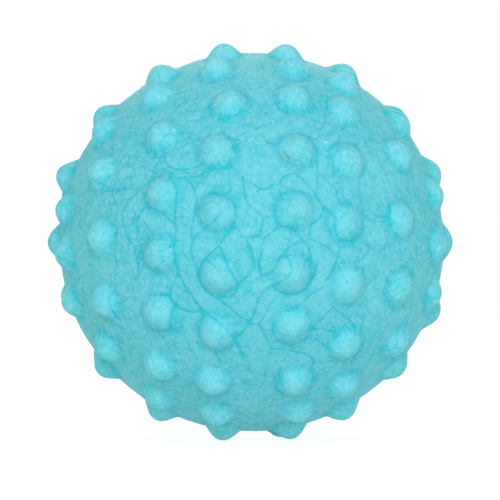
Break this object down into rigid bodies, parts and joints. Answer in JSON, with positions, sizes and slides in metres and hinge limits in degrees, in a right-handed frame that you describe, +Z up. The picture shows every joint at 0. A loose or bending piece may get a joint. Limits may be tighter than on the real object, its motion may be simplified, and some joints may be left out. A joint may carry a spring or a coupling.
{
  "type": "sensory ball",
  "caption": "Hollow rubber baby ball covered in round nubs, moulded as two bonded halves, with a press-in reed squeaker at the back.",
  "frame": {"origin": "centre of the ball", "axes": "+X from the left half's pole nub to the right half's, square to the seam; -Y the front that the picture shows; +Z up as the ball rests on four nubs"},
  "size_m": [0.09, 0.0876, 0.0878],
  "materials": {
    "turquoise_rubber": "matt moulded natural rubber, finely pebbled, with moulding creases",
    "rubber_cement": "cured rubber cement",
    "white_plastic": "moulded polyethylene, satin",
    "grey_plastic": "moulded polyethylene, satin",
    "reed_film": "thin springy plastic strip"
  },
  "bodies": {
    "ball": {"left_half_shell": "turquoise_rubber", "right_half_shell": "turquoise_rubber", "seam_cement": "rubber_cement", "squeaker_housing": "white_plastic", "squeaker_tone_sleeve": "grey_plastic", "squeaker_reed_block": "white_plastic", "squeaker_inner_cap": "grey_plastic"},
    "reed": {"squeaker_reed": "reed_film"}
  },
  "joints": [
    {"name": "reed_hinge", "type": "hinge", "parent": "ball", "child": "reed", "pos_m": [0.01676, 0.03255, -0.00367], "axis": [0.8902, -0.453, 0.0476], "range_deg": [-3, 1.5], "stiffness_Nm_per_rad": 0.0002}
  ]
}
